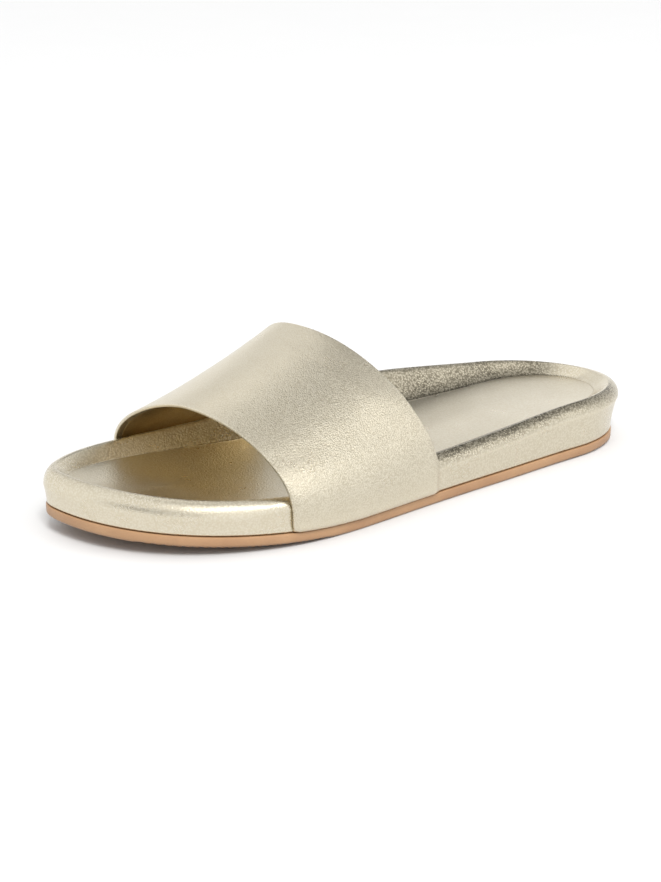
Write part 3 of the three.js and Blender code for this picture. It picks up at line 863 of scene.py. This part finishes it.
def make_camera():
    data = bpy.data.cameras.new("camera")
    data.sensor_width = SENSOR
    data.lens = FOCAL_PIXELS * SENSOR / PICTURE_HEIGHT
    data.shift_x = -PRINCIPAL_RIGHT / PICTURE_HEIGHT
    data.shift_y = PRINCIPAL_DOWN / PICTURE_HEIGHT
    data.clip_start = 0.01
    camera = bpy.data.objects.new("camera", data)
    forward = direction(0, -CAMERA_ELEVATION)
    camera.location = ORIGIN + CAMERA_TARGET - forward * CAMERA_DISTANCE
    upright = forward.to_track_quat("-Z", "Y").to_matrix().to_4x4()
    roll = Matrix.Rotation(math.radians(CAMERA_ROLL), 4, "Z")
    camera.matrix_world = Matrix.Translation(camera.location) @ upright @ roll
    bpy.context.scene.collection.objects.link(camera)
    bpy.context.scene.camera = camera


FLOOR_REACH = 2.5
FLOOR_SIDES = 48
FLOOR_LIGHT = (0.61, 0.61, 0.61, 1)
FLOOR_DARK = (0.60085, 0.60085, 0.60085, 1)
FLOOR_MOTTLE = 0.05


def floor_material():
    nodes = Nodes("studio_white")
    tone = nodes.mix(nodes.noise(FLOOR_MOTTLE, 2.0), FLOOR_LIGHT, FLOOR_DARK)
    return nodes.finish(Base_Color=tone, Roughness=0.8)


def make_stage():
    """A round floor under the sandal."""
    turns = np.linspace(0, 2 * math.pi, FLOOR_SIDES, endpoint=False)
    rim_points = [(FLOOR_REACH * math.cos(turn), FLOOR_REACH * math.sin(turn), 0) for turn in turns]
    mesh = bpy.data.meshes.new("floor")
    mesh.from_pydata(rim_points, [], [tuple(range(FLOOR_SIDES))])
    mesh.materials.append(floor_material())
    floor = bpy.data.objects.new("floor", mesh)
    bpy.context.scene.collection.objects.link(floor)


def softbox(name, azimuth, elevation, distance, width, height, brightness):
    """An area light that faces the sandal. brightness is its radiance, whatever its size."""
    data = bpy.data.lights.new(name, "AREA")
    data.shape = "RECTANGLE"
    data.size = width
    data.size_y = height
    data.energy = brightness * math.pi * width * height
    light = bpy.data.objects.new(name, data)
    towards = direction(azimuth, elevation)
    light.location = towards * distance
    light.rotation_euler = (-towards).to_track_quat("-Z", "Y").to_euler()
    bpy.context.scene.collection.objects.link(light)
    return light


ROOM_LIGHT = 1.03
ROOM_DARKEST = 0.05
PATCH_SOFTNESS = 0.35  # of a patch's edge, as a share of its half width

# Soft patches on the studio's walls and ceiling: azimuth, elevation and half width in degrees, and the
# light added
ROOM_PATCHES = [
    (16, 44, 12.5, -0.95),
    (40, 48, 14, -0.3),
    (67, 42, 11, -0.5),
    (150, 72, 14, -0.35),
    (-18, 36, 14, -0.24),
    (55, 68, 14, -0.16),
    (0, 64, 13, 0.2),
    (176, 6, 8, -0.5),
    (196, 4, 9, -0.8),
    (214, 3, 10, -0.7),
    (232, 2, 9, -0.35),
]


def make_room():
    """The studio around the sandal, as a plain grey world with a few soft lighter and darker patches."""
    world = bpy.data.worlds.new("studio")
    world.use_nodes = True
    tree = world.node_tree
    towards = tree.nodes.new("ShaderNodeTexCoord").outputs["Generated"]
    light = None
    for azimuth, elevation, half_width, added in ROOM_PATCHES:
        nearness = tree.nodes.new("ShaderNodeVectorMath")
        nearness.operation = "DOT_PRODUCT"
        nearness.inputs[1].default_value = direction(azimuth, elevation)
        tree.links.new(towards, nearness.inputs[0])
        patch = tree.nodes.new("ShaderNodeMapRange")
        patch.interpolation_type = "SMOOTHSTEP"
        patch.inputs["From Min"].default_value = math.cos(math.radians(half_width * (1 + PATCH_SOFTNESS)))
        patch.inputs["From Max"].default_value = math.cos(math.radians(half_width * (1 - PATCH_SOFTNESS)))
        patch.inputs["To Min"].default_value = 0
        patch.inputs["To Max"].default_value = added
        tree.links.new(nearness.outputs["Value"], patch.inputs["Value"])
        total = tree.nodes.new("ShaderNodeMath")
        total.inputs[1].default_value = ROOM_LIGHT
        if light is not None:
            tree.links.new(light, total.inputs[1])
        tree.links.new(patch.outputs["Result"], total.inputs[0])
        light = total.outputs["Value"]
    darkest = tree.nodes.new("ShaderNodeMath")
    darkest.operation = "MAXIMUM"
    darkest.inputs[1].default_value = ROOM_DARKEST
    tree.links.new(light, darkest.inputs[0])
    background = tree.nodes["Background"]
    background.inputs["Color"].default_value = (1, 1, 1, 1)
    tree.links.new(darkest.outputs["Value"], background.inputs["Strength"])
    bpy.context.scene.world = world


def make_lights():
    softbox(
        "key", azimuth=135, elevation=37, distance=1.6, width=2.15, height=0.64, brightness=1.55
    )
    overhead = softbox(
        "overhead", azimuth=172, elevation=48, distance=8, width=2.2, height=2.2, brightness=34
    )
    overhead.visible_glossy = False


def show(piece, material):
    """Puts a finished piece on the frame, in its node's place."""
    piece.data.materials.append(material)
    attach(piece, "root")
    return piece


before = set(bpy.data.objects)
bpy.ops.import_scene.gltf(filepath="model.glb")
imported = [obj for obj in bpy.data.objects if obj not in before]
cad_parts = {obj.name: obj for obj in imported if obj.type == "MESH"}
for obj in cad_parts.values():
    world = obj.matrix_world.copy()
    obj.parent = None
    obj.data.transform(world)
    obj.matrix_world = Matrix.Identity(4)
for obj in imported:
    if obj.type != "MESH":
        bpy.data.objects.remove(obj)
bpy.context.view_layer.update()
ORIGIN = row_frame_origin()

GOLD_LIGHT = (0.71, 0.66, 0.54, 1)
GOLD_DARK = (0.63, 0.565, 0.43, 1)
# Painted shade: darker colours for the strap's pebble gaps, and for the pebbles and gaps of the footbed's
# grained bands.
STRAP_SHADED_GAP = (0.47, 0.42, 0.315, 1)
FOOTBED_SHADED_RIDGE = (0.52, 0.47, 0.36, 1)
FOOTBED_SHADED_GAP = (0.1, 0.085, 0.055, 1)
LINING_LIGHT = (0.7, 0.56, 0.31, 1)
LINING_DARK = (0.62, 0.47, 0.23, 1)
TAN_LIGHT = (0.35, 0.205, 0.105, 1)
TAN_DARK = (0.29, 0.16, 0.08, 1)

make_camera()
# The strap's darker gap colour and the footbed's darker ridge and gap colours are painted shade on their
# grained bands.
strap_gold = gold_leather(
    "strap_gold",
    (GOLD_LIGHT, GOLD_DARK, GOLD_LIGHT, STRAP_SHADED_GAP),
    roughness=0.3,
    pebble=0.0004,
    pebble_height=0.00014,
    soft_height=0.00016,
)
footbed_gold = gold_leather(
    "footbed_gold",
    (GOLD_LIGHT, GOLD_DARK, FOOTBED_SHADED_RIDGE, FOOTBED_SHADED_GAP),
    roughness=0.28,
    pebble=0.0006,
    pebble_height=0.00013,
    soft_height=0.00015,
)
insole_gold = gold_leather(
    "insole_gold",
    (GOLD_LIGHT, GOLD_DARK) * 2,
    roughness=0.3,
    pebble=0.0006,
    pebble_height=0.0001,
    soft_height=0.0001,
)
lining_gold = gold_leather(
    "lining_gold",
    (LINING_LIGHT, LINING_DARK) * 2,
    roughness=0.36,
    pebble=0.0006,
    pebble_height=0.00008,
    soft_height=0.0002,
)
rubber = tan_rubber("outsole_tan", TAN_LIGHT, TAN_DARK, roughness=0.5)

outsole = show(outsole_piece(), rubber)
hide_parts("outsole")
show(tread_piece(), rubber)
footbed = show(footbed_piece(), footbed_gold)
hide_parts("footbed")
insole = show(insole_piece(), insole_gold)
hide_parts("insole")
strap = show(strap_leather_piece(), strap_gold)
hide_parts("strap")
show(strap_lining_piece(), lining_gold)

make_stage()
make_room()
make_lights()

scene = bpy.context.scene
scene.view_settings.view_transform = "Standard"
scene.view_settings.exposure = 0.2
scene.cycles.use_denoising = True
scene.cycles.max_bounces = 10
scene.cycles.glossy_bounces = 8
scene.cycles.diffuse_bounces = 4
